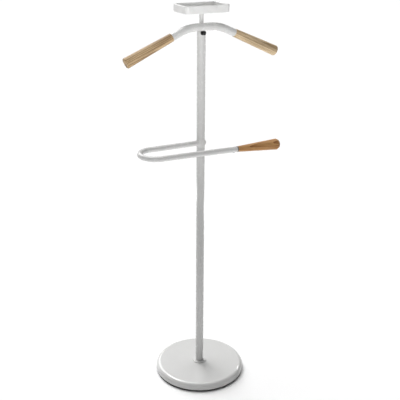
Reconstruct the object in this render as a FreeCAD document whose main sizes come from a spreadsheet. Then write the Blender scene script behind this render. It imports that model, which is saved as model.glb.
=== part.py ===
import FreeCAD, Part
import math
import os
import re
import Sketcher

# Valet stand: a weighted round base, a two-part pole, a trouser bar that swings about the pole,
# and a head with a suit hanger and a tray that turns in the pole's top.
# Lengths are in millimetres and angles in degrees.
# Origin: centre of the base on the floor. X runs along the hanger, -Y is the front, Z is up.

SIZES = [
    ("foot_pad_radius", 10, "rubber pad under the base"),
    ("foot_pad_height", 2, ""),
    ("foot_pad_circle", 125, "distance of the pads from the centre"),
    ("foot_pad_count", 6, ""),
    ("plate_radius", 144.5, "bottom plate"),
    ("plate_thickness", 4, ""),
    ("plate_opening", 20, "radius of the hole that gives access to the foot bolt"),
    ("plate_screw_circle", 95, "distance of the plate screws from the centre"),
    ("plate_screw_count", 4, ""),
    ("cover_radius", 145, "pressed steel cover"),
    ("cover_height", 21, ""),
    ("cover_wall", 1.5, ""),
    ("cover_rounding", 13, "outer radius of the rolled top edge"),
    ("weight_radius", 136, "cast iron disc"),
    ("weight_thickness", 10, ""),
    ("weight_rounding", 3, ""),
    ("boss_radius", 32, "raised middle that carries the cover"),
    ("plate_screw_radius", 2, ""),
    ("plate_screw_head", 4, "countersunk head's radius"),
    ("plate_screw_length", 7, "shank below the countersunk head"),
    ("plate_screw_socket", 1.4, "corner radius of the hexagon socket"),
    ("plate_screw_hole", 6, "depth of the threaded holes in the weight"),
    ("bolt_recess_radius", 15, "counterbore for the foot bolt"),
    ("bolt_recess_depth", 8, ""),
    ("bolt_head_radius", 7, ""),
    ("bolt_head_height", 4.4, ""),
    ("bolt_socket", 2.9, ""),
    ("bolt_length", 32, ""),
    ("bolt_washer_radius", 13, ""),
    ("bolt_washer_thickness", 1.6, ""),
    ("trim_radius", 22, "ring round the pole's foot"),
    ("trim_height", 2.5, ""),
    ("trim_rounding", 1.25, ""),
    ("pole_radius", 12.5, ""),
    ("pole_wall", 1.5, ""),
    ("plug_length", 24, "threaded plugs in the tube ends"),
    ("bar_height", 796.5, "height of the trouser bar's axis"),
    ("hub_height", 30, "turned hub between the two pole tubes"),
    ("hub_play", 0.05, "radial clearance of the hub on its stud, and of the stem in its bush"),
    ("slip_gap", 0.2, "gap between faces that turn on each other"),
    ("washer_thickness", 0.8, ""),
    ("washer_radius", 11.5, ""),
    ("stud_radius", 4, "threaded stud through the hub"),
    ("stud_length", 70, ""),
    ("pole_top", 1128.5, "height of the upper tube's top"),
    ("bar_radius", 8, "trouser bar tube"),
    ("bar_wall", 1.2, ""),
    ("bar_overhang", 1, "tube past the hub on the right"),
    ("bar_reach", 168, "pole axis to the middle of the U bend"),
    ("bend_radius", 46.5, "U bend, on the tube's axis"),
    ("bar_splay", 2.8, "opening of the two legs, in degrees"),
    ("front_leg", 237, "straight front leg from the bend to the ring"),
    ("stud_clearance", 4.5, "radius of the stud's holes through the bar"),
    ("end_plug_flange", 1.5, ""),
    ("end_plug_rounding", 0.9, ""),
    ("end_plug_depth", 8, ""),
    ("ring_radius", 8.4, "dark ring between tube and handle"),
    ("ring_length", 4, ""),
    ("handle_start_radius", 8.4, "flared wooden handle"),
    ("handle_end_radius", 16.6, ""),
    ("handle_face_radius", 12, "flat end face inside the chamfer"),
    ("handle_length", 136, ""),
    ("handle_chamfer_length", 8, ""),
    ("handle_rounding", 2.4, ""),
    ("handle_tenon_length", 30, ""),
    ("bush_length", 36, "plastic bush in the pole's top"),
    ("stem_radius", 6, "round stem of the head"),
    ("stem_bottom", 1084, ""),
    ("stem_flange_radius", 8.5, "flange that rests on the bush"),
    ("stem_flange_height", 1.8, ""),
    ("groove_depth", 1, "groove for the clip under the bush"),
    ("groove_width", 1.3, ""),
    ("groove_height", 6.5, "lower side of the groove above the stem's end"),
    ("clip_radius", 9, ""),
    ("clip_thickness", 1.2, ""),
    ("clip_opening", 8, ""),
    ("pad_width", 15, "saddle pad under the bush screw"),
    ("pad_height", 11.4, ""),
    ("pad_rise", 3.8, "pad's upper edge above the pole's top"),
    ("pad_rounding", 4, ""),
    ("pad_front", 15.2, "distance of the pad's face from the pole's axis"),
    ("bush_screw_drop", 4.2, "screw's axis below the pole's top"),
    ("bush_screw_radius", 2.5, "screw that holds the bush"),
    ("bush_screw_length", 7, ""),
    ("bush_screw_head_radius", 3.4, ""),
    ("bush_screw_head_height", 2, ""),
    ("bush_screw_socket", 1.7, ""),
    ("hanger_radius", 11, "hanger tube"),
    ("hanger_wall", 1.5, ""),
    ("hanger_offset", 15, "hanger's plane in front of the stem"),
    ("hanger_height", 1144.3, "axis of the hanger's flat middle"),
    ("hanger_flat", 22.5, "half length of the flat middle"),
    ("hanger_bend", 124.5, "bend radius on the tube's axis"),
    ("hanger_slope", 23.9, "slope of the arms, in degrees"),
    ("hanger_arm", 30.5, "straight tube after the bend"),
    ("shoulder_start_radius", 12.1, "wooden shoulder end"),
    ("shoulder_end_radius", 15.6, ""),
    ("shoulder_length", 154.5, ""),
    ("shoulder_rounding", 3, ""),
    ("shoulder_tenon_length", 26, ""),
    ("tenon_play", 0.1, "radial gap round a wooden tenon"),
    ("pin_screw_radius", 1.5, "small screws that hold the tenons"),
    ("pin_screw_head_radius", 3, ""),
    ("pin_screw_head_height", 1.8, ""),
    ("shoulder_screw_length", 9, ""),
    ("handle_screw_length", 7, ""),
    ("tray_screw_length", 5.5, ""),
    ("pin_screw_inset", 10, "screw's distance from the tube's end"),
    ("tray_length", 142, ""),
    ("tray_width", 90, ""),
    ("tray_height", 22, ""),
    ("tray_top", 1207, ""),
    ("tray_corner", 12, "outer corner radius"),
    ("tray_wall", 6, ""),
    ("tray_floor", 5, ""),
    ("tray_rim_rounding", 2.4, ""),
    ("tray_foot_rounding", 2, ""),
    ("bracket_length", 60, "plate that carries the tray"),
    ("bracket_width", 34, ""),
    ("bracket_thickness", 2, ""),
    ("bracket_screw_x", 23, "half spacing of the tray screws"),
    ("bracket_screw_y", 11, ""),
    ("socket_share", 0.6, "socket's depth as a share of its head's height"),
    ("cut_length", 60, "length of the cuts that go right through"),
]
SIZE_NAMES = set(name for name, value, note in SIZES)

doc = FreeCAD.newDocument("valet_stand")
sheet = doc.addObject("Spreadsheet::Sheet", "Sizes")
SUB_PARTS = []

X_AXIS = FreeCAD.Vector(1, 0, 0)
Y_AXIS = FreeCAD.Vector(0, 1, 0)
Z_AXIS = FreeCAD.Vector(0, 0, 1)
NEAR = 1e-4  # lengths closer than this are equal
PARALLEL = 0.99  # cosine above which two directions are parallel


def fill_sheet():
    for row, (name, value, note) in enumerate(SIZES, start=1):
        sheet.set("A%d" % row, name)
        sheet.set("B%d" % row, str(value))
        sheet.set("C%d" % row, note)
        sheet.setAlias("B%d" % row, name)
    doc.recompute()


def size(name):
    """Value of one cell."""
    return float(getattr(sheet, name))


def formula(text):
    """Puts the sheet's name before each size that a formula names."""
    def full_name(word):
        return "Sizes." + word.group() if word.group() in SIZE_NAMES else word.group()

    return re.sub(r"[a-z_]+", full_name, text)


def bind(item, path, text):
    item.setExpression(path, formula(text))


def keep(item, label):
    """Registers a finished sub-part under the name of its node."""
    item.Label = label
    SUB_PARTS.append(item)
    return item


def place(item, position, rotation=FreeCAD.Rotation()):
    item.Placement = FreeCAD.Placement(FreeCAD.Vector(*position), rotation)


# ---- sketches and features -------------------------------------------------------------------


def new_body(name):
    return doc.addObject("PartDesign::Body", name)


def origin_plane(body, role):
    return [item for item in body.Origin.OriginFeatures if item.Role == role][0]


def new_sketch(body, role, lift=None):
    """Sketch on one of the body's origin planes, lifted along the plane's normal."""
    sketch = body.newObject("Sketcher::SketchObject", body.Name + "_sketch")
    sketch.AttachmentSupport = [(origin_plane(body, role), "")]
    sketch.MapMode = "FlatFace"
    if lift:
        bind(sketch, "AttachmentOffset.Base.z", lift)
    return sketch


def fix_point(sketch, geometry, end, x, y):
    """Ties a point to the sketch's origin by two formulas; "0" puts it on an axis."""
    point = sketch.getPoint(geometry, end)
    for text, kind, axis, start in ((x, "DistanceX", -2, point.x), (y, "DistanceY", -1, point.y)):
        if text == "0":
            sketch.addConstraint(Sketcher.Constraint("PointOnObject", geometry, end, axis))
        else:
            index = sketch.addConstraint(Sketcher.Constraint(kind, -1, 1, geometry, end, start))
            bind(sketch, "Constraints[%d]" % index, text)


def add_circle(sketch, radius, x="0", y="0"):
    index = sketch.addGeometry(Part.Circle(FreeCAD.Vector(1, 1, 0), Z_AXIS, 1.0))
    constraint = sketch.addConstraint(Sketcher.Constraint("Radius", index, 1.0))
    bind(sketch, "Constraints[%d]" % constraint, radius)
    fix_point(sketch, index, 3, x, y)


def add_polygon(sketch, corners):
    """Closed outline through corners given as pairs of formulas."""
    count = len(corners)
    turns = [2 * math.pi * index / count for index in range(count)]
    guess = [FreeCAD.Vector(2 + math.cos(turn), 2 + math.sin(turn), 0) for turn in turns]
    for index, (x, y) in enumerate(corners):
        sketch.addGeometry(Part.LineSegment(guess[index], guess[(index + 1) % count]))
        fix_point(sketch, index, 1, x, y)
    for index in range(count):
        sketch.addConstraint(Sketcher.Constraint("Coincident", index, 2, (index + 1) % count, 1))


def add_rectangle(sketch, half_width, half_height, x="0", y="0"):
    signs = [("-", "-"), ("+", "-"), ("+", "+"), ("-", "+")]
    corners = []
    for across, up in signs:
        corners.append(("%s %s %s" % (x, across, half_width), "%s %s %s" % (y, up, half_height)))
    add_polygon(sketch, corners)


def pad(body, sketch, length):
    feature = body.newObject("PartDesign::Pad", body.Name + "_pad")
    feature.Profile = (sketch, [""])
    bind(feature, "Length", length)
    return feature


def pocket(body, sketch, length, both_ways=False, reverse=False):
    """Cuts along the sketch's normal and stops if nothing was removed."""
    doc.recompute()
    before = body.Shape.Volume
    feature = body.newObject("PartDesign::Pocket", body.Name + "_pocket")
    feature.Profile = (sketch, [""])
    feature.Midplane = both_ways
    feature.Reversed = reverse
    bind(feature, "Length", length)
    doc.recompute()
    if body.Shape.Volume >= before:
        raise RuntimeError(feature.Name + " removes nothing")
    return feature


def round_edges(body, radius, wanted):
    """Fillets the edges of the body's tip that the test accepts."""
    doc.recompute()
    base = body.Tip
    names = ["Edge%d" % index for index, edge in enumerate(base.Shape.Edges, start=1) if wanted(edge)]
    feature = body.newObject("PartDesign::Fillet", body.Name + "_fillet")
    feature.Base = (base, names)
    bind(feature, "Radius", radius)
    return feature


def polar_pattern(body, feature, count):
    pattern = body.newObject("PartDesign::PolarPattern", body.Name + "_pattern")
    pattern.Originals = [feature]
    pattern.Axis = (body.Origin.OriginFeatures[2], [""])
    pattern.Angle = 360
    bind(pattern, "Occurrences", count)
    body.Tip = pattern
    return pattern


def is_circle(edge, radius, height):
    """True for a full circle about the local Z axis with this radius and height."""
    curve = edge.Curve
    if not isinstance(curve, Part.Circle):
        return False
    near_axis = abs(curve.Center.x) + abs(curve.Center.y) < NEAR
    return near_axis and abs(curve.Radius - radius) < NEAR and abs(curve.Center.z - height) < NEAR


def turned(name, corners):
    """Body of revolution about its own Z axis, from an outline of (radius, height) formulas."""
    body = new_body(name)
    sketch = new_sketch(body, "XZ_Plane")
    add_polygon(sketch, corners)
    feature = body.newObject("PartDesign::Revolution", name + "_revolution")
    feature.Profile = (sketch, [""])
    feature.ReferenceAxis = (sketch, ["V_Axis"])
    feature.Angle = 360
    return body


def ring(name, outer, inner, height):
    """Tube, washer or plug: a padded ring with its lower face at the local origin."""
    body = new_body(name)
    sketch = new_sketch(body, "XY_Plane")
    add_circle(sketch, outer)
    add_circle(sketch, inner)
    pad(body, sketch, height)
    return body


def cylinder(name, radius, height):
    item = doc.addObject("Part::Cylinder", name)
    bind(item, "Radius", radius)
    bind(item, "Height", height)
    return item


def socket_screw(name, head_radius, head_height, shank_radius, shank_length, socket_radius):
    """Screw along +Z with its head's outer face at the local origin and a hexagon socket."""
    head = cylinder(name + "_head", head_radius, head_height)
    shank = cylinder(name + "_shank", shank_radius, shank_length)
    bind(shank, "Placement.Base.z", head_height)
    screw = doc.addObject("Part::Fuse", name + "_blank")
    screw.Base = head
    screw.Tool = shank
    socket = doc.addObject("Part::Prism", name + "_socket")
    socket.Polygon = 6
    bind(socket, "Circumradius", socket_radius)
    bind(socket, "Height", "%s * socket_share" % head_height)
    cut = doc.addObject("Part::Cut", name)
    cut.Base = screw
    cut.Tool = socket
    return cut


def grouped(name, items):
    group = doc.addObject("Part::Compound", name)
    group.Links = items
    return group


# ---- base ------------------------------------------------------------------------------------

COVER_BOTTOM = "(foot_pad_height + plate_thickness)"
COVER_TOP = "(foot_pad_height + plate_thickness + cover_height)"


def make_foot_pads():
    body = new_body("foot_pads")
    sketch = new_sketch(body, "XY_Plane")
    add_circle(sketch, "foot_pad_radius", "foot_pad_circle")
    polar_pattern(body, pad(body, sketch, "foot_pad_height"), "foot_pad_count")
    keep(body, "foot_pads")


def make_base_plate():
    """Black disc under the base with countersunk holes that open downwards."""
    body = ring("base_plate", "plate_radius", "plate_opening", "plate_thickness")
    sketch = new_sketch(body, "XY_Plane")
    add_circle(sketch, "plate_screw_radius", "plate_screw_circle")
    doc.recompute()
    hole = body.newObject("PartDesign::Hole", "base_plate_hole")
    hole.Profile = (sketch, [""])
    hole.Reversed = True
    hole.DepthType = "ThroughAll"
    hole.HoleCutType = "Countersink"
    hole.HoleCutCustomValues = True
    hole.HoleCutCountersinkAngle = 90
    bind(hole, "Diameter", "2 * plate_screw_radius")
    bind(hole, "HoleCutDiameter", "2 * plate_screw_head")
    polar_pattern(body, hole, "plate_screw_count")
    bind(body, "Placement.Base.z", "foot_pad_height")
    keep(body, "base_plate")


def make_base_weight():
    """Cast iron disc with a raised boss, a counterbore for the foot bolt and plate screw holes."""
    body = turned("base_weight", [
        ("bolt_recess_radius", "0"),
        ("weight_radius", "0"),
        ("weight_radius", "weight_thickness"),
        ("boss_radius", "weight_thickness"),
        ("boss_radius", "cover_height - cover_wall"),
        ("stud_radius", "cover_height - cover_wall"),
        ("stud_radius", "bolt_recess_depth"),
        ("bolt_recess_radius", "bolt_recess_depth"),
    ])
    rim, top = size("weight_radius"), size("weight_thickness")
    round_edges(body, "weight_rounding", lambda edge: is_circle(edge, rim, top))
    sketch = new_sketch(body, "XY_Plane")
    add_circle(sketch, "plate_screw_radius", "plate_screw_circle")
    polar_pattern(body, pocket(body, sketch, "plate_screw_hole", reverse=True), "plate_screw_count")
    bind(body, "Placement.Base.z", COVER_BOTTOM)
    keep(body, "base_weight")


def make_base_cover():
    """Pressed steel shell with a rolled top edge and a hole for the foot bolt."""
    body = turned("base_cover", [
        ("cover_radius - cover_wall", "0"),
        ("cover_radius", "0"),
        ("cover_radius", "cover_height"),
        ("stud_radius", "cover_height"),
        ("stud_radius", "cover_height - cover_wall"),
        ("cover_radius - cover_wall", "cover_height - cover_wall"),
    ])
    rim, top, wall = size("cover_radius"), size("cover_height"), size("cover_wall")
    round_edges(body, "cover_rounding", lambda edge: is_circle(edge, rim, top))
    round_edges(body, "cover_rounding - cover_wall",
                lambda edge: is_circle(edge, rim - wall, top - wall))
    bind(body, "Placement.Base.z", COVER_BOTTOM)
    keep(body, "base_cover")


def make_plate_screws():
    screws = []
    for index in range(int(size("plate_screw_count"))):
        name = "plate_screw_%d" % index
        head = doc.addObject("Part::Cone", name + "_head")
        bind(head, "Radius1", "plate_screw_head")
        bind(head, "Radius2", "plate_screw_radius")
        bind(head, "Height", "plate_screw_head - plate_screw_radius")
        shank = cylinder(name + "_shank", "plate_screw_radius", "plate_screw_length")
        bind(shank, "Placement.Base.z", "plate_screw_head - plate_screw_radius")
        blank = doc.addObject("Part::Fuse", name + "_blank")
        blank.Base = head
        blank.Tool = shank
        socket = doc.addObject("Part::Prism", name + "_socket")
        bind(socket, "Circumradius", "plate_screw_socket")
        bind(socket, "Height", "plate_screw_head - plate_screw_radius")
        screw = doc.addObject("Part::Cut", name)
        screw.Base = blank
        screw.Tool = socket
        turn = 2 * math.pi * index / size("plate_screw_count")
        circle = size("plate_screw_circle")
        place(screw, (circle * math.cos(turn), circle * math.sin(turn), size("foot_pad_height")))
        screws.append(screw)
    keep(grouped("plate_screws", screws), "plate_screws")


def make_foot_bolt():
    top = "%s + bolt_recess_depth" % COVER_BOTTOM
    washer = ring("foot_bolt_washer", "bolt_washer_radius", "stud_radius", "bolt_washer_thickness")
    bind(washer, "Placement.Base.z", top + " - bolt_washer_thickness")
    keep(washer, "foot_bolt_washer")
    bolt = socket_screw("foot_bolt", "bolt_head_radius", "bolt_head_height", "stud_radius",
                        "bolt_length", "bolt_socket")
    bind(bolt, "Placement.Base.z", top + " - bolt_washer_thickness - bolt_head_height")
    keep(bolt, "foot_bolt")


def make_foot_trim():
    body = ring("foot_trim", "trim_radius", "pole_radius + tenon_play", "trim_height")
    rim, top = size("trim_radius"), size("trim_height")
    round_edges(body, "trim_rounding", lambda edge: is_circle(edge, rim, top))
    bind(body, "Placement.Base.z", COVER_TOP)
    keep(body, "foot_trim")


# ---- pole ------------------------------------------------------------------------------------

LOWER_TOP = "(bar_height - hub_height / 2 - slip_gap - washer_thickness)"
UPPER_BOTTOM = "(bar_height + hub_height / 2 + slip_gap + washer_thickness)"


def make_lower_pole():
    length = "%s - %s" % (LOWER_TOP, COVER_TOP)
    body = ring("lower_pole", "pole_radius", "pole_radius - pole_wall", length)
    bind(body, "Placement.Base.z", COVER_TOP)
    keep(body, "lower_pole")


def make_upper_pole():
    """Upper tube with a hole in front for the bush screw."""
    length = "pole_top - %s" % UPPER_BOTTOM
    body = ring("upper_pole", "pole_radius", "pole_radius - pole_wall", length)
    sketch = new_sketch(body, "XZ_Plane")
    add_circle(sketch, "bush_screw_radius", "0", length + " - bush_screw_drop")
    pocket(body, sketch, "cut_length", reverse=True)
    bind(body, "Placement.Base.z", UPPER_BOTTOM)
    keep(body, "upper_pole")


def make_tube_plugs():
    """Threaded plugs pressed into three of the four tube ends."""
    bottoms = {
        "foot_plug": COVER_TOP,
        "lower_joint_plug": LOWER_TOP + " - plug_length",
        "upper_joint_plug": UPPER_BOTTOM,
    }
    for name, bottom in bottoms.items():
        plug = ring(name, "pole_radius - pole_wall", "stud_radius", "plug_length")
        bind(plug, "Placement.Base.z", bottom)
        keep(plug, name)


def make_swivel_joint():
    """Stud that joins the two tubes through the hub, and the washers above and below the hub."""
    stud = new_body("pivot_stud")
    sketch = new_sketch(stud, "XY_Plane")
    add_circle(sketch, "stud_radius")
    pad(stud, sketch, "stud_length")
    bind(stud, "Placement.Base.z", "bar_height - stud_length / 2")
    keep(stud, "pivot_stud")
    bottoms = {
        "lower_swivel_washer": LOWER_TOP,
        "upper_swivel_washer": UPPER_BOTTOM + " - washer_thickness",
    }
    for name, bottom in bottoms.items():
        washer = ring(name, "washer_radius", "stud_radius + tenon_play", "washer_thickness")
        bind(washer, "Placement.Base.z", bottom)
        keep(washer, name)


# ---- trouser bar -----------------------------------------------------------------------------

BACK_LEG = "(pole_radius + bar_overhang + bar_reach)"
LEG_START_X = "(0 - %s - bend_radius * sin(bar_splay * 1 deg))" % BACK_LEG
LEG_START_Y = "(0 - bend_radius - bend_radius * cos(bar_splay * 1 deg))"


def leg_point(distance):
    """Formulas for a point on the front leg's axis, in the bar's own frame."""
    x = "%s + (%s) * cos(bar_splay * 1 deg)" % (LEG_START_X, distance)
    y = "%s - (%s) * sin(bar_splay * 1 deg)" % (LEG_START_Y, distance)
    return x, y


def leg_position(distance):
    """The same point as numbers in the stand's frame."""
    splay = math.radians(size("bar_splay"))
    x = distance * math.cos(splay) - size("bar_reach") - size("bend_radius") * math.sin(splay)
    y = -distance * math.sin(splay) - size("bend_radius") * (1 + math.cos(splay))
    return x, y, size("bar_height")


def join(sketch, first, first_end, second, second_end):
    sketch.addConstraint(Sketcher.Constraint("Coincident", first, first_end, second, second_end))


def bent_pipe(body, profile, path):
    feature = body.newObject("PartDesign::AdditivePipe", body.Name + "_pipe")
    feature.Profile = (profile, [""])
    feature.Spine = (path, ["Edge1", "Edge2", "Edge3"])
    return feature


def make_hub():
    """Short turned length of the pole, cross-bored for the bar and free on the stud."""
    body = ring("bar_hub", "pole_radius", "stud_radius + hub_play", "hub_height")
    sketch = new_sketch(body, "YZ_Plane")
    add_circle(sketch, "bar_radius", "0", "hub_height / 2")
    pocket(body, sketch, "cut_length", both_ways=True)
    bind(body, "Placement.Base.z", "bar_height - hub_height / 2")
    keep(body, "bar_hub")


def make_trouser_bar():
    """U-shaped tube: back leg through the hub, bend on the left, front leg back to the handle."""
    body = new_body("trouser_bar")
    profile = new_sketch(body, "YZ_Plane")
    add_circle(profile, "bar_radius")
    add_circle(profile, "bar_radius - bar_wall")
    path = new_sketch(body, "XY_Plane")
    back = size("pole_radius") + size("bar_overhang") + size("bar_reach")
    bend, splay = size("bend_radius"), math.radians(size("bar_splay"))
    corner = FreeCAD.Vector(-back, 0, 0)
    centre = FreeCAD.Vector(-back, -bend, 0)
    start_angle, end_angle = math.pi / 2, 3 * math.pi / 2 - splay
    leg_start = centre + FreeCAD.Vector(math.cos(end_angle), math.sin(end_angle), 0) * bend
    leg_end = leg_start + FreeCAD.Vector(math.cos(splay), -math.sin(splay), 0) * size("front_leg")
    path.addGeometry(Part.LineSegment(FreeCAD.Vector(0, 0, 0), corner))
    path.addGeometry(Part.ArcOfCircle(Part.Circle(centre, Z_AXIS, bend), start_angle, end_angle))
    path.addGeometry(Part.LineSegment(leg_start, leg_end))
    fix_point(path, 0, 1, "0", "0")
    fix_point(path, 0, 2, "0 - %s" % BACK_LEG, "0")
    join(path, 0, 2, 1, 1)
    join(path, 1, 2, 2, 1)
    index = path.addConstraint(Sketcher.Constraint("Radius", 1, bend))
    bind(path, "Constraints[%d]" % index, "bend_radius")
    fix_point(path, 2, 1, LEG_START_X, LEG_START_Y)
    fix_point(path, 2, 2, *leg_point("front_leg"))
    bent_pipe(body, profile, path)
    stud_holes = new_sketch(body, "XY_Plane")
    add_circle(stud_holes, "stud_clearance", "0 - pole_radius - bar_overhang")
    pocket(body, stud_holes, "cut_length", both_ways=True)
    screw_hole = new_sketch(body, "XY_Plane")
    add_circle(screw_hole, "pin_screw_radius", *leg_point("front_leg - pin_screw_inset"))
    pocket(body, screw_hole, "cut_length")
    bind(body, "Placement.Base.x", "pole_radius + bar_overhang")
    bind(body, "Placement.Base.z", "bar_height")
    keep(body, "trouser_bar")


def make_end_plug():
    """Flanged plug that closes the bar's open end on the right of the hub."""
    bore = "bar_radius - bar_wall"
    body = turned("bar_end_plug", [
        ("0", "0 - end_plug_depth"),
        (bore, "0 - end_plug_depth"),
        (bore, "0"),
        ("bar_radius", "0"),
        ("bar_radius", "end_plug_flange"),
        ("0", "end_plug_flange"),
    ])
    rim, top = size("bar_radius"), size("end_plug_flange")
    round_edges(body, "end_plug_rounding", lambda edge: is_circle(edge, rim, top))
    start = size("pole_radius") + size("bar_overhang")
    place(body, (start, 0, size("bar_height")), FreeCAD.Rotation(Y_AXIS, 90))
    keep(body, "bar_end_plug")


def make_handle():
    """Dark ring and flared handle on the front leg's free end, with the handle's screw."""
    along_leg = FreeCAD.Rotation(Z_AXIS, -size("bar_splay")) * FreeCAD.Rotation(Y_AXIS, 90)
    tenon = "(bar_radius - bar_wall - tenon_play)"
    ring_body = ring("handle_ring", "ring_radius", tenon, "ring_length")
    place(ring_body, leg_position(size("front_leg")), along_leg)
    keep(ring_body, "handle_ring")

    chamfer = "handle_length - handle_chamfer_length"
    body = turned("bar_handle", [
        ("0", "0 - handle_tenon_length - ring_length"),
        (tenon, "0 - handle_tenon_length - ring_length"),
        (tenon, "0"),
        ("handle_start_radius", "0"),
        ("handle_end_radius", chamfer),
        ("handle_face_radius", "handle_length"),
        ("0", "handle_length"),
    ])
    end = size("handle_length")
    flare_end = end - size("handle_chamfer_length")
    round_edges(body, "handle_rounding",
                lambda edge: is_circle(edge, size("handle_end_radius"), flare_end)
                or is_circle(edge, size("handle_face_radius"), end))
    sketch = new_sketch(body, "YZ_Plane")
    add_circle(sketch, "pin_screw_radius", "0", "0 - ring_length - pin_screw_inset")
    pocket(body, sketch, "cut_length", reverse=True)
    place(body, leg_position(size("front_leg") + size("ring_length")), along_leg)
    keep(body, "bar_handle")

    screw = pin_screw("handle_screw", "handle_screw_length")
    x, y, z = leg_position(size("front_leg") - size("pin_screw_inset"))
    place(screw, (x, y, z - size("bar_radius") - size("pin_screw_head_height")))
    keep(screw, "handle_screw")


def pin_screw(name, length):
    """Small screw whose socket is as wide as its shank."""
    return socket_screw(name, "pin_screw_head_radius", "pin_screw_head_height", "pin_screw_radius",
                        length, "pin_screw_radius")


# ---- head ------------------------------------------------------------------------------------


def make_head_bush():
    """Plastic bush in the pole's top with a hole for its screw."""
    body = ring("head_bush", "pole_radius - pole_wall", "stem_radius + hub_play", "bush_length")
    sketch = new_sketch(body, "XZ_Plane")
    add_circle(sketch, "bush_screw_radius", "0", "bush_length - bush_screw_drop")
    pocket(body, sketch, "cut_length", reverse=True)
    bind(body, "Placement.Base.z", "pole_top - bush_length")
    keep(body, "head_bush")


def make_bush_screw():
    """Saddle pad on the front of the pole and the screw through its lower part."""
    body = new_body("saddle_pad")
    sketch = new_sketch(body, "XZ_Plane")
    middle = "pad_rise + bush_screw_drop - pad_height / 2"
    add_rectangle(sketch, "pad_width / 2", "pad_height / 2", "0", "(%s)" % middle)
    pad(body, sketch, "pad_front")
    round_edges(body, "pad_rounding",
                lambda edge: abs(edge.tangentAt(edge.FirstParameter).y) > PARALLEL)
    saddle = new_sketch(body, "XY_Plane")
    add_circle(saddle, "pole_radius")
    pocket(body, saddle, "cut_length", both_ways=True)
    hole = new_sketch(body, "XZ_Plane")
    add_circle(hole, "bush_screw_radius")
    pocket(body, hole, "cut_length", reverse=True)
    bind(body, "Placement.Base.z", "pole_top - bush_screw_drop")
    keep(body, "saddle_pad")

    screw = socket_screw("bush_screw", "bush_screw_head_radius", "bush_screw_head_height",
                         "bush_screw_radius", "bush_screw_length", "bush_screw_socket")
    front = size("pad_front") + size("bush_screw_head_height")
    height = size("pole_top") - size("bush_screw_drop")
    place(screw, (0, -front, height), FreeCAD.Rotation(X_AXIS, -90))
    keep(screw, "bush_screw")


def make_stem():
    """Round bar from the bush to the tray, with a flange on the bush and a groove for the clip."""
    groove_top = "groove_height + groove_width"
    flange = "pole_top + slip_gap - stem_bottom"
    length = "tray_top - tray_height - stem_bottom"
    neck = "stem_radius - groove_depth"
    body = turned("head_stem", [
        ("0", "0"),
        ("stem_radius", "0"),
        ("stem_radius", "groove_height"),
        (neck, "groove_height"),
        (neck, groove_top),
        ("stem_radius", groove_top),
        ("stem_radius", flange),
        ("stem_flange_radius", flange),
        ("stem_flange_radius", flange + " + stem_flange_height"),
        ("stem_radius", flange + " + stem_flange_height"),
        ("stem_radius", length),
        ("0", length),
    ])
    bind(body, "Placement.Base.z", "stem_bottom")
    keep(body, "head_stem")


def make_stem_clip():
    """Open spring ring in the stem's groove, under the bush."""
    body = ring("stem_clip", "clip_radius", "stem_radius - groove_depth", "clip_thickness")
    sketch = new_sketch(body, "XY_Plane")
    add_rectangle(sketch, "clip_opening / 2", "clip_radius / 2", "0", "clip_radius / 2")
    pocket(body, sketch, "cut_length", both_ways=True)
    bind(body, "Placement.Base.z", "stem_bottom + groove_height + (groove_width - clip_thickness) / 2")
    keep(body, "stem_clip")


ARM_START_X = "(hanger_flat + hanger_bend * sin(hanger_slope * 1 deg))"
ARM_START_Z = "(hanger_bend * cos(hanger_slope * 1 deg) - hanger_bend)"


def arm_point(distance):
    """Formulas for a point on the right arm's axis, in the hanger tube's own frame."""
    x = "%s + (%s) * cos(hanger_slope * 1 deg)" % (ARM_START_X, distance)
    z = "%s - (%s) * sin(hanger_slope * 1 deg)" % (ARM_START_Z, distance)
    return x, z


def arm_position(side, distance):
    """The same point as numbers in the stand's frame: side is 1 on the right and -1 on the left."""
    slope, bend = math.radians(size("hanger_slope")), size("hanger_bend")
    x = size("hanger_flat") + bend * math.sin(slope) + distance * math.cos(slope)
    z = size("hanger_height") - bend * (1 - math.cos(slope)) - distance * math.sin(slope)
    return side * x, -size("hanger_offset"), z


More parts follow.
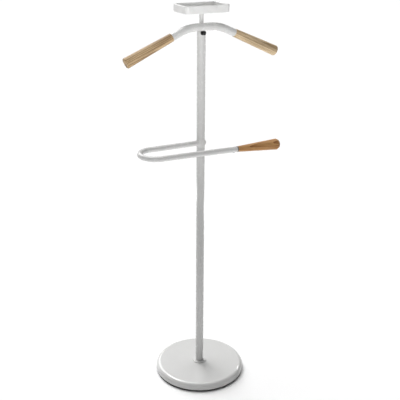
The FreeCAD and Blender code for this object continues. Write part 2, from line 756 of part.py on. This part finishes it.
def make_hanger_tube():
    """Bent tube, made as its right half and mirrored, coped where the stem is welded to its back."""
    body = new_body("hanger_tube")
    profile = new_sketch(body, "YZ_Plane")
    add_circle(profile, "hanger_radius")
    add_circle(profile, "hanger_radius - hanger_wall")
    path = new_sketch(body, "XZ_Plane")
    slope = math.radians(size("hanger_slope"))
    bend, flat = size("hanger_bend"), size("hanger_flat")
    centre = FreeCAD.Vector(flat, -bend, 0)
    arm_angle = math.pi / 2 - slope
    arm_start = centre + FreeCAD.Vector(math.cos(arm_angle), math.sin(arm_angle), 0) * bend
    arm_end = arm_start + FreeCAD.Vector(math.cos(slope), -math.sin(slope), 0) * size("hanger_arm")
    path.addGeometry(Part.LineSegment(FreeCAD.Vector(0, 0, 0), FreeCAD.Vector(flat, 0, 0)))
    path.addGeometry(Part.ArcOfCircle(Part.Circle(centre, Z_AXIS, bend), arm_angle, math.pi / 2))
    path.addGeometry(Part.LineSegment(arm_start, arm_end))
    fix_point(path, 0, 1, "0", "0")
    fix_point(path, 0, 2, "hanger_flat", "0")
    join(path, 0, 2, 1, 2)
    join(path, 1, 1, 2, 1)
    index = path.addConstraint(Sketcher.Constraint("Radius", 1, bend))
    bind(path, "Constraints[%d]" % index, "hanger_bend")
    fix_point(path, 2, 1, ARM_START_X, ARM_START_Z)
    fix_point(path, 2, 2, *arm_point("hanger_arm"))
    half = bent_pipe(body, profile, path)
    holes = new_sketch(body, "XZ_Plane")
    add_circle(holes, "pin_screw_radius", *arm_point("hanger_arm - pin_screw_inset"))
    hole = pocket(body, holes, "cut_length")
    mirror = body.newObject("PartDesign::Mirrored", "hanger_tube_mirror")
    mirror.Originals = [half, hole]
    mirror.MirrorPlane = (origin_plane(body, "YZ_Plane"), [""])
    body.Tip = mirror
    cope = new_sketch(body, "XY_Plane")
    add_circle(cope, "stem_radius", "0", "hanger_offset")
    pocket(body, cope, "cut_length", both_ways=True)
    bind(body, "Placement.Base.y", "0 - hanger_offset")
    bind(body, "Placement.Base.z", "hanger_height")
    keep(body, "hanger_tube")


def make_shoulder(name, side):
    """Flared wooden shoulder end with a tenon in the hanger tube."""
    tenon = "(hanger_radius - hanger_wall - tenon_play)"
    body = turned(name, [
        ("0", "0 - shoulder_tenon_length"),
        (tenon, "0 - shoulder_tenon_length"),
        (tenon, "0"),
        ("shoulder_start_radius", "0"),
        ("shoulder_end_radius", "shoulder_length"),
        ("0", "shoulder_length"),
    ])
    end_radius, length = size("shoulder_end_radius"), size("shoulder_length")
    round_edges(body, "shoulder_rounding", lambda edge: is_circle(edge, end_radius, length))
    sketch = new_sketch(body, "XZ_Plane")
    add_circle(sketch, "pin_screw_radius", "0", "0 - pin_screw_inset")
    pocket(body, sketch, "cut_length")
    tilt = FreeCAD.Rotation(Y_AXIS, side * (90 + size("hanger_slope")))
    place(body, arm_position(side, size("hanger_arm")), tilt)
    keep(body, name)


def make_shoulder_screws():
    """One small screw in the back of each end of the hanger tube."""
    screws = []
    for name, side in (("left_shoulder_screw", -1), ("right_shoulder_screw", 1)):
        screw = pin_screw(name, "shoulder_screw_length")
        x, y, z = arm_position(side, size("hanger_arm") - size("pin_screw_inset"))
        back = y + size("hanger_radius") + size("pin_screw_head_height")
        place(screw, (x, back, z), FreeCAD.Rotation(X_AXIS, 90))
        screws.append(screw)
    keep(grouped("shoulder_screws", screws), "shoulder_screws")


# ---- tray ------------------------------------------------------------------------------------

TRAY_BOTTOM = "(tray_top - tray_height)"
CHECKED_POINTS = 5  # points along an edge when its height is checked


def is_upright(edge):
    if not isinstance(edge.Curve, Part.Line):
        return False
    return abs(edge.tangentAt(edge.FirstParameter).z) > PARALLEL


def all_at_height(edge, height):
    return all(abs(point.z - height) < NEAR for point in edge.discretize(CHECKED_POINTS))


def add_screw_circles(sketch, radius):
    for x, y in (("", ""), ("0 - ", ""), ("", "0 - "), ("0 - ", "0 - ")):
        add_circle(sketch, radius, x + "bracket_screw_x", y + "bracket_screw_y")


def make_tray():
    """Shallow moulded tray with rounded corners and a rounded rim."""
    body = new_body("tray")
    outside = new_sketch(body, "XY_Plane")
    add_rectangle(outside, "tray_length / 2", "tray_width / 2")
    pad(body, outside, "tray_height")
    round_edges(body, "tray_corner", is_upright)
    inside = new_sketch(body, "XY_Plane", lift="tray_floor")
    add_rectangle(inside, "(tray_length / 2 - tray_wall)", "(tray_width / 2 - tray_wall)")
    pocket(body, inside, "tray_height", reverse=True)
    floor, height = size("tray_floor"), size("tray_height")
    round_edges(body, "tray_corner - tray_wall",
                lambda edge: is_upright(edge) and edge.BoundBox.ZMin > floor - NEAR)
    round_edges(body, "tray_rim_rounding", lambda edge: all_at_height(edge, height))
    round_edges(body, "tray_foot_rounding",
                lambda edge: all_at_height(edge, 0) or all_at_height(edge, floor))
    holes = new_sketch(body, "XY_Plane")
    add_screw_circles(holes, "pin_screw_radius")
    pocket(body, holes, "tray_screw_length - bracket_thickness", reverse=True)
    bind(body, "Placement.Base.z", TRAY_BOTTOM)
    keep(body, "tray")


def make_tray_bracket():
    """Plate welded to the stem's top, with four screw holes."""
    body = new_body("tray_bracket")
    sketch = new_sketch(body, "XY_Plane")
    add_rectangle(sketch, "bracket_length / 2", "bracket_width / 2")
    pad(body, sketch, "bracket_thickness")
    round_edges(body, "stem_radius", is_upright)
    holes = new_sketch(body, "XY_Plane")
    add_circle(holes, "stem_radius")
    add_screw_circles(holes, "pin_screw_radius")
    pocket(body, holes, "cut_length", both_ways=True)
    bind(body, "Placement.Base.z", TRAY_BOTTOM + " - bracket_thickness")
    keep(body, "tray_bracket")


def make_tray_screws():
    screws = []
    bracket_bottom = size("tray_top") - size("tray_height") - size("bracket_thickness")
    height = bracket_bottom - size("pin_screw_head_height")
    for x in (-size("bracket_screw_x"), size("bracket_screw_x")):
        for y in (-size("bracket_screw_y"), size("bracket_screw_y")):
            screw = pin_screw("tray_screw_%d" % len(screws), "tray_screw_length")
            place(screw, (x, y, height))
            screws.append(screw)
    keep(grouped("tray_screws", screws), "tray_screws")


# ---- build, check and write ------------------------------------------------------------------


def make_stand():
    make_foot_pads()
    make_base_plate()
    make_plate_screws()
    make_base_weight()
    make_base_cover()
    make_foot_bolt()
    make_foot_trim()
    make_lower_pole()
    make_upper_pole()
    make_tube_plugs()
    make_swivel_joint()
    make_hub()
    make_trouser_bar()
    make_end_plug()
    make_handle()
    make_head_bush()
    make_bush_screw()
    make_stem()
    make_stem_clip()
    make_hanger_tube()
    make_shoulder("left_shoulder", -1)
    make_shoulder("right_shoulder", 1)
    make_shoulder_screws()
    make_tray_bracket()
    make_tray()
    make_tray_screws()


def check_stand():
    doc.recompute()
    for item in doc.Objects:
        if "Invalid" in item.State or "Error" in item.State:
            raise RuntimeError("%s failed: %s" % (item.Name, item.State))
    for item in SUB_PARTS:
        if item.Shape.isNull() or not item.Shape.isValid():
            raise RuntimeError(item.Label + " has no valid shape")


def write_parts():
    os.makedirs("parts", exist_ok=True)
    for item in SUB_PARTS:
        item.Shape.exportStep(os.path.join("parts", item.Label + ".step"))
        box = item.Shape.BoundBox
        print("%-22s solids %d volume %10.1f  z %7.1f to %7.1f" % (
            item.Label, len(item.Shape.Solids), item.Shape.Volume, box.ZMin, box.ZMax))


fill_sheet()
make_stand()
check_stand()
write_parts()
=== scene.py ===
import math

import bmesh
import bpy
from mathutils import Matrix, Vector


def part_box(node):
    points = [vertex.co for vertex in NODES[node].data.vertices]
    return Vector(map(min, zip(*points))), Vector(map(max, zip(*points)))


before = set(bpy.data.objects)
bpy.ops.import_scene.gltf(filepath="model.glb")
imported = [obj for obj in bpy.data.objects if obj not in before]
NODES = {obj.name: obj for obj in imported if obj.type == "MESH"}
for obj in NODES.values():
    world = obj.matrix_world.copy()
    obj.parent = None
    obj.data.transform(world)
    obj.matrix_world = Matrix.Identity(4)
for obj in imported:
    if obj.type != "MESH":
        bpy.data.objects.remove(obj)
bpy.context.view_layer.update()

# Valet stand: materials, stage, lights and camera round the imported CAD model.
# Lengths are in metres. The floor is at z = 0 and the stand's front faces -Y.

# Camera. Pan and tilt are in degrees from a level view along +Y.
CAMERA_PLACE = (-0.990, -1.950, 1.463)
CAMERA_PAN = 26.89
CAMERA_TILT = 21.31
CAMERA_ROLL = 0.34
LENS_MM = 67.67
SENSOR_MM = 36.0

# Stage.
FLOOR_SIZE = 60.0
DOME_STRENGTH = 0.03
BACKDROP_STRENGTH = 1.0

# Suns: name, place they shine from towards the origin, angular size in degrees, strength.
SUNS = [
    ("ceiling", (0.0, 0.7, 2.0), 50.0, 2.55),
    ("key", (-0.05, 1.7, 1.2), 38.0, 1.6),
]

# Softboxes: name, place, aim, width, height, watts, spread in degrees.
SOFTBOXES = [
    ("fill", (-0.55, -1.2, 1.2), (0.0, 0.0, 1.08), 0.4, 0.3, 0.6, 50.0),
    ("low_fill", (-0.5, -1.0, 0.3), (0.0, 0.0, 0.05), 0.3, 0.3, 0.1, 50.0),
]

# Softboxes seen only as reflections on the base's rim: name, place, aim, side, watts.
GLINTS = [
    ("left_glint", (-0.159, 0.258, 0.524), (-0.123, -0.072, 0.026), 0.18, 1.0),
    ("right_glint", (0.484, 0.154, 0.377), (0.052, -0.068, 0.026), 0.08, 0.6),
]
FULL_SPREAD = 180.0

# Colours, as linear RGB.
WHITE = (0.68, 0.68, 0.672)
WHITE_TRAY = (0.90, 0.90, 0.89)
BLACK = (0.012, 0.012, 0.012)
BLACK_SCREW = (0.03, 0.03, 0.032)
GREY = (0.2, 0.18, 0.16)
ZINC = (0.66, 0.67, 0.69)
IRON = (0.045, 0.045, 0.05)
WORN_IRON = (0.07, 0.065, 0.06)
RUST = (0.13, 0.07, 0.04)
RUBBER = (0.012, 0.012, 0.012)
RUBBER_BLOOM = (0.03, 0.03, 0.029)
NYLON = (0.62, 0.61, 0.56)
PALE_NYLON = (0.72, 0.71, 0.67)
PAPER = (0.93, 0.93, 0.93)
PALE_PAPER = (0.95, 0.95, 0.95)

# Woods: dark, middle and light tones.
# The left shoulder's tones are the right shoulder's beech made darker: painted shade on the
# left shoulder.
SHADED_BEECH = ((0.22, 0.13, 0.06), (0.54, 0.37, 0.20), (0.72, 0.54, 0.33))
BEECH = ((0.32, 0.22, 0.12), (0.74, 0.56, 0.35), (0.86, 0.70, 0.47))
TINTED_BEECH = ((0.24, 0.095, 0.03), (0.47, 0.24, 0.085), (0.60, 0.34, 0.14))

# The pith runs beside the blank, so that the rings cross it as nearly straight lines.
PITH_X = 0.031
PITH_Y = 0.043
PITH_STEP = 0.004

# Grain directions: the shoulders slope down and the handle splays forwards, in degrees.
SHOULDER_SLOPE = math.radians(23.9)
HANDLE_SPLAY = math.radians(2.8)
RIGHT_SHOULDER_AXIS = Vector((math.cos(SHOULDER_SLOPE), 0.0, -math.sin(SHOULDER_SLOPE)))
LEFT_SHOULDER_AXIS = Vector((-math.cos(SHOULDER_SLOPE), 0.0, -math.sin(SHOULDER_SLOPE)))
HANDLE_AXIS = Vector((math.cos(HANDLE_SPLAY), -math.sin(HANDLE_SPLAY), 0.0))


# ---- node helpers ----------------------------------------------------------------


def add_node(tree, kind, inputs=None, **settings):
    """Adds a shader node, sets its properties, and sets or links its inputs."""
    node = tree.nodes.new(kind)
    for name, value in settings.items():
        setattr(node, name, value)
    for name, value in (inputs or {}).items():
        set_socket(tree, node.inputs[name], value)
    return node


def set_socket(tree, socket, value):
    """Links a socket to another node's output, or gives it a constant."""
    if isinstance(value, bpy.types.NodeSocket):
        tree.links.new(value, socket)
    else:
        socket.default_value = value


def new_material(name):
    """A material, its node tree and its Principled shader."""
    material = bpy.data.materials.new(name)
    material.use_nodes = True
    return material, material.node_tree, material.node_tree.nodes["Principled BSDF"]


def connect(tree, shader, **inputs):
    """Sets the shader's sockets; an underscore in a name stands for a space."""
    for name, value in inputs.items():
        set_socket(tree, shader.inputs[name.replace("_", " ")], value)


def mapped(tree, point, **inputs):
    """Point passed through a Mapping node."""
    values = {"Vector": point}
    values.update({name.capitalize(): value for name, value in inputs.items()})
    return add_node(tree, "ShaderNodeMapping", values).outputs["Vector"]


def object_point(tree):
    """Point on the object, in metres from the object's origin."""
    return add_node(tree, "ShaderNodeTexCoord").outputs["Object"]


def noise(tree, point, scale, detail=2.0, roughness=0.5, distortion=0.0):
    """Noise value, mostly between 0.3 and 0.7; a larger scale gives finer noise."""
    node = add_node(tree, "ShaderNodeTexNoise", {
        "Vector": point, "Scale": scale, "Detail": detail,
        "Roughness": roughness, "Distortion": distortion})
    return node.outputs["Fac"]


def cells(tree, point, scale):
    """Distance to the nearest point of a scattered set."""
    node = add_node(tree, "ShaderNodeTexVoronoi", {"Vector": point, "Scale": scale})
    return node.outputs["Distance"]


def ramp(tree, value, stops):
    """Colour ramp over a value; stops are (position, colour) pairs."""
    node = add_node(tree, "ShaderNodeValToRGB", {"Fac": value})
    elements = node.color_ramp.elements
    for index, (position, colour) in enumerate(stops):
        element = elements[index] if index < 2 else elements.new(position)
        element.position = position
        element.color = (*colour, 1.0)
    return node.outputs["Color"]


def remap(tree, value, low, high, from_low=0.3, from_high=0.7):
    """Value moved from one range to another; from_low becomes low."""
    node = add_node(tree, "ShaderNodeMapRange", {
        "Value": value, "From Min": from_low, "From Max": from_high,
        "To Min": low, "To Max": high})
    return node.outputs["Result"]


def darken(tree, factor, colour, tone):
    """Colour mixed towards a tone by a factor."""
    node = add_node(
        tree, "ShaderNodeMix", {"Factor": factor, "A": colour, "B": (*tone, 1.0)},
        data_type="RGBA")
    return node.outputs["Result"]


def bump(tree, height, depth, strength, below=None):
    """Normal of a bumped surface; below is a normal to lay it on."""
    inputs = {"Height": height, "Distance": depth, "Strength": strength}
    if below is not None:
        inputs["Normal"] = below
    return add_node(tree, "ShaderNodeBump", inputs).outputs["Normal"]


def shade(colour, factor):
    """Colour made darker by a factor."""
    return tuple(channel * factor for channel in colour)


# ---- materials -------------------------------------------------------------------


def powder_coat(name, colour, gloss, peel_strength=0.4, shine=0.5):
    """Baked powder paint: fine orange peel, faint cloudiness, uneven sheen."""
    material, tree, shader = new_material(name)
    point = object_point(tree)
    clouds = noise(tree, point, scale=14.0, detail=4.0)
    sheen = noise(tree, point, scale=90.0, detail=3.0)
    peel = noise(tree, point, scale=900.0, detail=2.0)
    grains = noise(tree, point, scale=3500.0, detail=1.0)
    peeled = bump(tree, peel, depth=0.00003, strength=peel_strength)
    connect(
        tree, shader,
        Base_Color=ramp(tree, clouds, [(0.3, shade(colour, 0.965)), (0.7, colour)]),
        Roughness=remap(tree, sheen, low=gloss - 0.04, high=gloss + 0.05),
        Normal=bump(tree, grains, depth=0.00001, strength=0.3, below=peeled),
        Specular_IOR_Level=shine,
    )
    return material


def moulded_plastic(name, colour, gloss, shine=0.5):
    """Injection-moulded plastic: spark-eroded grain and slow flow marks."""
    material, tree, shader = new_material(name)
    point = object_point(tree)
    flow = noise(tree, point, scale=25.0, detail=3.0, distortion=1.5)
    grain = cells(tree, point, scale=1800.0)
    connect(
        tree, shader,
        Base_Color=ramp(tree, flow, [(0.35, shade(colour, 0.96)), (0.65, colour)]),
        Roughness=remap(tree, flow, low=gloss - 0.03, high=gloss + 0.05),
        Normal=bump(tree, grain, depth=0.00002, strength=0.35),
        Specular_IOR_Level=shine,
    )
    return material


def grain_point(tree, node, axis, seed):
    """Point on a turned piece, in a frame with Z along the grain."""
    low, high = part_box(node)
    centre = (low + high) / 2
    to_axis = Vector(axis).normalized().rotation_difference(Vector((0, 0, 1))).to_euler()
    centred = mapped(tree, object_point(tree), location=tuple(-part for part in centre))
    pith = (PITH_X + seed * PITH_STEP, PITH_Y, seed)
    return mapped(tree, centred, rotation=tuple(to_axis), location=pith)


def turned_wood(name, node, axis, tones, seed):
    """Beech: rings round a pith outside the blank, lengthwise fibres, short dark flecks."""
    material, tree, shader = new_material(name)
    dark, middle, light = tones
    point = grain_point(tree, node, axis, seed)
    long_point = mapped(tree, point, scale=(1.0, 1.0, 0.06))
    fleck_point = mapped(tree, point, scale=(1.0, 1.0, 0.22))

    rings = add_node(
        tree, "ShaderNodeTexWave",
        {"Vector": long_point, "Scale": 62.0, "Distortion": 2.6, "Detail": 3.0,
         "Detail Scale": 1.2, "Detail Roughness": 0.6},
        wave_type="RINGS", rings_direction="Z", wave_profile="SAW")
    fibres = noise(tree, long_point, scale=900.0, detail=4.0, roughness=0.65)
    bands = noise(tree, long_point, scale=70.0, detail=3.0)
    flecks = cells(tree, fleck_point, scale=620.0)

    band_share = remap(tree, bands, low=0.0, high=0.7, from_low=0.45, from_high=0.6)
    fibre_share = remap(tree, fibres, low=0.0, high=0.45, from_low=0.45, from_high=0.75)
    fleck_share = remap(tree, flecks, low=0.55, high=0.0, from_low=0.05, from_high=0.22)
    colour = ramp(tree, rings.outputs["Fac"], [(0.0, light), (0.7, middle), (1.0, dark)])
    colour = darken(tree, band_share, colour, dark)
    colour = darken(tree, fibre_share, colour, dark)
    colour = darken(tree, fleck_share, colour, shade(dark, 0.6))

    fibred = bump(tree, fibres, depth=0.00003, strength=0.5)
    connect(
        tree, shader,
        Base_Color=colour,
        Roughness=remap(tree, fibres, low=0.5, high=0.65),
        Normal=bump(tree, flecks, depth=0.00002, strength=0.3, below=fibred),
        Specular_IOR_Level=0.3,
    )
    return material


def zinc_plate(name):
    """Plated steel hardware with a spangled, slightly scratched surface."""
    material, tree, shader = new_material(name)
    point = object_point(tree)
    spangle = cells(tree, point, scale=700.0)
    brushed_point = mapped(tree, point, scale=(1.0, 14.0, 3.0))
    scratches = noise(tree, brushed_point, scale=500.0, detail=3.0)
    connect(
        tree, shader,
        Base_Color=ramp(tree, spangle, [(0.0, shade(ZINC, 0.85)), (0.8, ZINC)]),
        Metallic=1.0,
        Roughness=remap(tree, scratches, low=0.22, high=0.42),
        Normal=bump(tree, scratches, depth=0.00001, strength=0.4),
    )
    return material


def cast_iron(name):
    """Rough cast surface with sand grain and a little rust bloom."""
    material, tree, shader = new_material(name)
    point = object_point(tree)
    sand = noise(tree, point, scale=700.0, detail=5.0, roughness=0.7)
    bloom = noise(tree, point, scale=22.0, detail=4.0)
    connect(
        tree, shader,
        Base_Color=ramp(tree, bloom, [(0.35, IRON), (0.6, WORN_IRON), (0.8, RUST)]),
        Roughness=remap(tree, sand, low=0.65, high=0.9),
        Metallic=0.4,
        Normal=bump(tree, sand, depth=0.0003, strength=0.7),
    )
    return material


def rubber(name):
    """Dull moulded rubber with a fine bloom."""
    material, tree, shader = new_material(name)
    point = object_point(tree)
    bloom = noise(tree, point, scale=120.0, detail=4.0)
    grain = noise(tree, point, scale=1500.0)
    connect(
        tree, shader,
        Base_Color=ramp(tree, bloom, [(0.35, RUBBER), (0.7, RUBBER_BLOOM)]),
        Roughness=remap(tree, bloom, low=0.7, high=0.88),
        Normal=bump(tree, grain, depth=0.00004, strength=0.4),
    )
    return material


def nylon(name):
    """Natural nylon: milky, with a little light passing under the surface."""
    material, tree, shader = new_material(name)
    point = object_point(tree)
    cloud = noise(tree, point, scale=160.0, detail=3.0)
    grain = noise(tree, point, scale=1600.0)
    connect(
        tree, shader,
        Base_Color=ramp(tree, cloud, [(0.3, NYLON), (0.7, PALE_NYLON)]),
        Roughness=remap(tree, cloud, low=0.4, high=0.55),
        Normal=bump(tree, grain, depth=0.00002, strength=0.3),
        Subsurface_Weight=0.1,
    )
    return material


def floor_paper(name):
    """Pale matt studio paper with faint fibres."""
    material, tree, shader = new_material(name)
    fibres = noise(tree, object_point(tree), scale=300.0, detail=3.0)
    connect(
        tree, shader,
        Base_Color=ramp(tree, fibres, [(0.3, PAPER), (0.7, PALE_PAPER)]),
        Roughness=0.9,
        Specular_IOR_Level=0.1,
    )
    return material


def give(material, names):
    """Makes a material the only one of the named nodes."""
    for name in names:
        slots = NODES[name].data.materials
        slots.clear()
        slots.append(material)


def make_painted():
    """Painted steel: tubes, base cover, bottom plate and the black screw."""
    give(powder_coat("white_powder_coat", WHITE, gloss=0.25, peel_strength=0.15), [
        "foot_trim", "lower_pole", "upper_pole", "bar_hub", "trouser_bar", "head_stem",
        "hanger_tube", "tray_bracket"])
    give(powder_coat("white_shell_paint", WHITE, gloss=0.15, peel_strength=0.12, shine=0.4), [
        "base_cover"])
    give(powder_coat("black_paint", BLACK, gloss=0.6, shine=0.2), ["base_plate"])
    give(powder_coat("black_screw", BLACK_SCREW, gloss=0.4, shine=0.4), ["bush_screw"])


def make_moulded():
    """Plastic, nylon and rubber pieces."""
    give(moulded_plastic("white_plastic", WHITE_TRAY, gloss=0.3), ["tray", "bar_end_plug"])
    give(moulded_plastic("black_plastic", BLACK, gloss=0.5, shine=0.15), ["saddle_pad"])
    give(moulded_plastic("grey_plastic", GREY, gloss=0.5), ["handle_ring"])
    give(nylon("nylon"), ["lower_swivel_washer", "upper_swivel_washer", "head_bush"])
    give(rubber("rubber"), ["foot_pads"])


def make_bare_metal():
    """Plated hardware and the cast weight."""
    give(zinc_plate("zinc_hardware"), [
        "plate_screws", "foot_bolt", "foot_bolt_washer", "foot_plug", "lower_joint_plug",
        "upper_joint_plug", "pivot_stud", "stem_clip", "handle_screw", "shoulder_screws",
        "tray_screws"])
    give(cast_iron("cast_iron"), ["base_weight"])


def make_wooden():
    """Wooden pieces, each with grain along its own axis and its own stretch of rings."""
    # The left shoulder gets the darker copy of the beech, which is painted shade.
    give(turned_wood("shaded_left_beech", "left_shoulder", LEFT_SHOULDER_AXIS, SHADED_BEECH, seed=0.0), [
        "left_shoulder"])
    give(turned_wood("right_beech", "right_shoulder", RIGHT_SHOULDER_AXIS, BEECH, seed=1.0), [
        "right_shoulder"])
    give(turned_wood("handle_beech", "bar_handle", HANDLE_AXIS, TINTED_BEECH, seed=2.0), [
        "bar_handle"])


# ---- stage, lights and camera ----------------------------------------------------


def make_floor():
    """Large flat floor."""
    grid = bmesh.new()
    bmesh.ops.create_grid(grid, x_segments=1, y_segments=1, size=FLOOR_SIZE / 2)
    mesh = bpy.data.meshes.new("floor")
    grid.to_mesh(mesh)
    grid.free()
    floor = bpy.data.objects.new("floor", mesh)
    bpy.context.scene.collection.objects.link(floor)
    mesh.materials.append(floor_paper("floor_paper"))


def make_world():
    """Dim dome for the light, and a pale backdrop where the camera sees past the floor."""
    world = bpy.data.worlds.new("studio")
    bpy.context.scene.world = world
    world.use_nodes = True
    tree = world.node_tree
    seen = add_node(tree, "ShaderNodeLightPath").outputs["Is Camera Ray"]
    level = remap(tree, seen, DOME_STRENGTH, BACKDROP_STRENGTH, from_low=0.0, from_high=1.0)
    background = tree.nodes["Background"]
    background.inputs["Color"].default_value = (1.0, 1.0, 1.0, 1.0)
    tree.links.new(level, background.inputs["Strength"])


def add_light(name, kind, place, aim, power):
    """Light at a place, turned towards its aim."""
    light = bpy.data.lights.new(name, kind)
    light.energy = power
    item = bpy.data.objects.new(name, light)
    item.location = place
    item.rotation_euler = (Vector(aim) - Vector(place)).to_track_quat("-Z", "Y").to_euler()
    bpy.context.scene.collection.objects.link(item)
    return item


def add_sun(name, place, angle, strength):
    """Even light from one side, the same over the whole floor."""
    item = add_light(name, "SUN", place, (0.0, 0.0, 0.0), strength)
    item.data.angle = math.radians(angle)


def add_softbox(name, place, aim, width, height, power, spread):
    """Rectangular light; a narrow spread throws it forwards."""
    item = add_light(name, "AREA", place, aim, power)
    item.data.spread = math.radians(spread)
    item.data.shape = "RECTANGLE"
    item.data.size = width
    item.data.size_y = height
    return item


def add_glint(name, place, aim, side, power):
    """Softbox that gives no diffuse light and that the camera doesn't see directly."""
    item = add_softbox(name, place, aim, side, side, power, FULL_SPREAD)
    item.visible_camera = False
    item.visible_diffuse = False


def make_lights():
    """All the lights of the studio."""
    make_world()
    for sun in SUNS:
        add_sun(*sun)
    for softbox in SOFTBOXES:
        add_softbox(*softbox)
    for glint in GLINTS:
        add_glint(*glint)


def make_camera():
    """Camera placed by its pan, tilt and roll."""
    data = bpy.data.cameras.new("camera")
    data.lens = LENS_MM
    data.sensor_width = SENSOR_MM
    camera = bpy.data.objects.new("camera", data)
    turn = Matrix.Rotation(math.radians(-CAMERA_PAN), 4, "Z")
    tilt = Matrix.Rotation(math.radians(90.0 - CAMERA_TILT), 4, "X")
    roll = Matrix.Rotation(math.radians(CAMERA_ROLL), 4, "Z")
    camera.matrix_world = Matrix.Translation(CAMERA_PLACE) @ turn @ tilt @ roll
    bpy.context.scene.collection.objects.link(camera)
    bpy.context.scene.camera = camera


make_painted()
make_moulded()
make_bare_metal()
make_wooden()
make_floor()
make_lights()
make_camera()
bpy.context.scene.view_settings.view_transform = "Standard"
